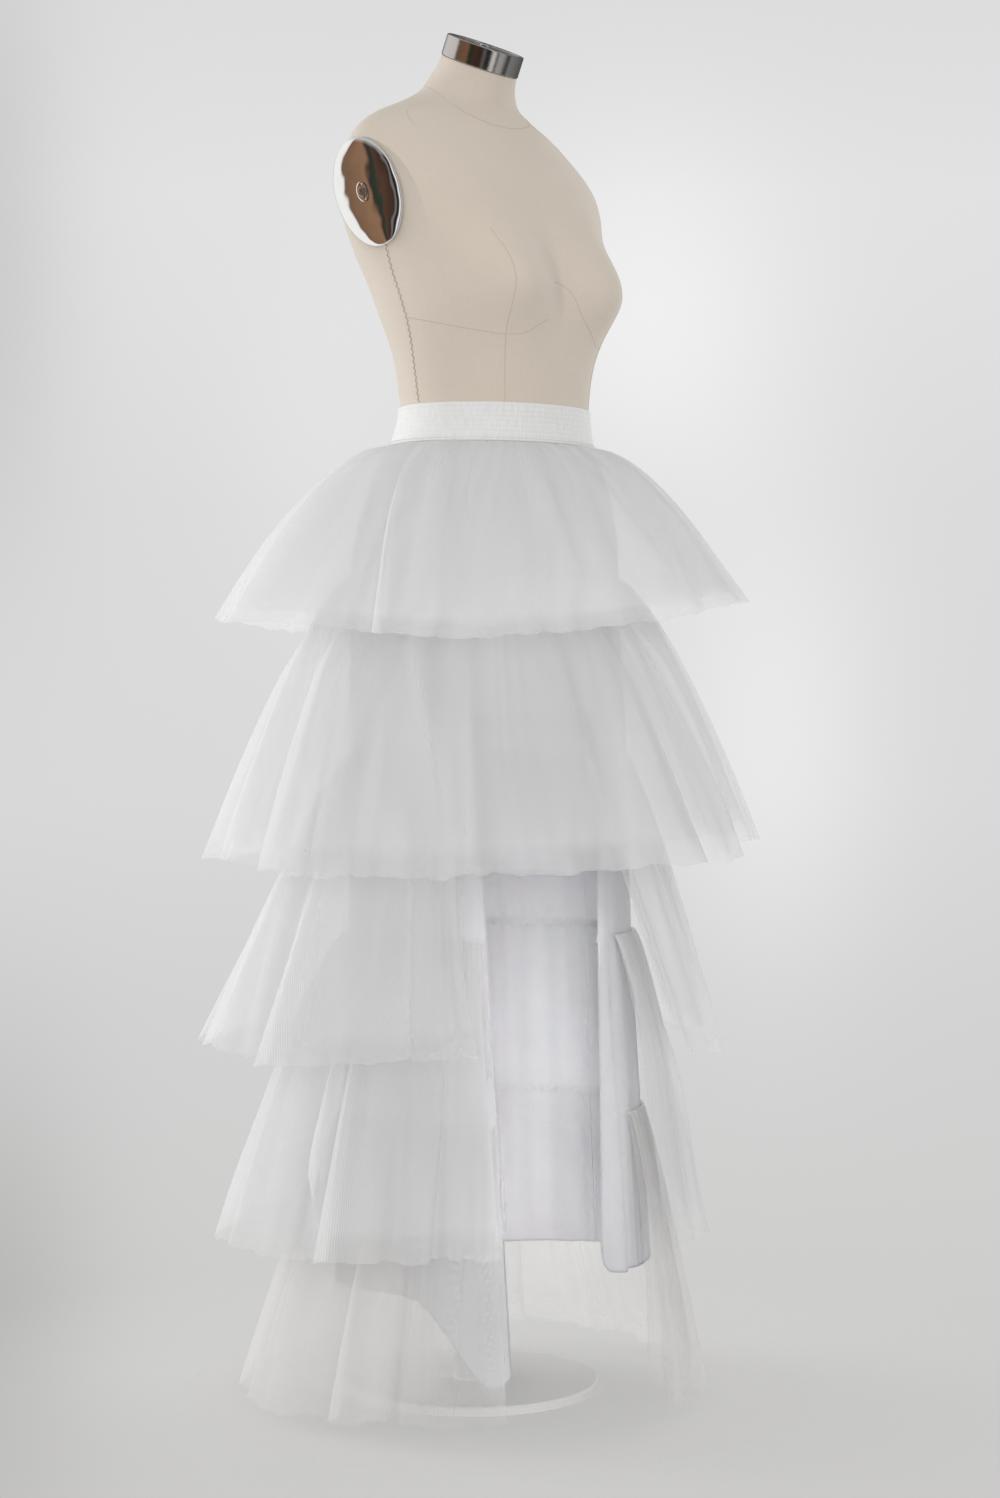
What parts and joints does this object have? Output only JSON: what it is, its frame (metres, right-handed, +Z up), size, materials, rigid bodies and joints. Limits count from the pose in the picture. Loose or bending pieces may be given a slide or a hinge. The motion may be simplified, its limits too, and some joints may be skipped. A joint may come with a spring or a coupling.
{
  "type": "tiered tulle skirt on a dress form",
  "caption": "Long skirt of gathered tulle tiers with a front slit, pale lining and ribbed elastic waistband, worn on a limbless dress form with a pole and a round foot.",
  "frame": {"origin": "on the floor, on the underside of the stand's foot, straight below the middle of the waist", "axes": "+Z up; -Y is the front of the wearer, +X the wearer's left"},
  "size_m": [0.6448, 0.6541, 1.6015],
  "materials": {
    "tulle": "fine white tulle in several layers, half see-through, matt",
    "lining": "smooth opaque lining cloth, white with a cold tint, soft sheen",
    "elastic": "white ribbed elastic, matt",
    "linen": "cream linen stretched over the form, sewn seams, matt",
    "steel": "brushed round its edge",
    "chrome": "mirror polished",
    "paint": "satin off-white paint"
  },
  "bodies": {
    "root": {"form_torso": "linen", "arm_plate_right": "chrome", "arm_plate_left": "chrome", "arm_screw_right": "steel", "arm_screw_left": "steel", "neck_cap": "steel", "stand_foot": "paint", "stand_pole": "paint", "stand_flange": "paint", "waistband": "elastic", "lining_front": "lining", "lining_back": "lining", "tulle_tier_1": "tulle", "tulle_tier_2": "tulle", "tulle_tier_3": "tulle", "tulle_tier_4": "tulle", "tulle_tier_5": "tulle"}
  },
  "joints": []
}
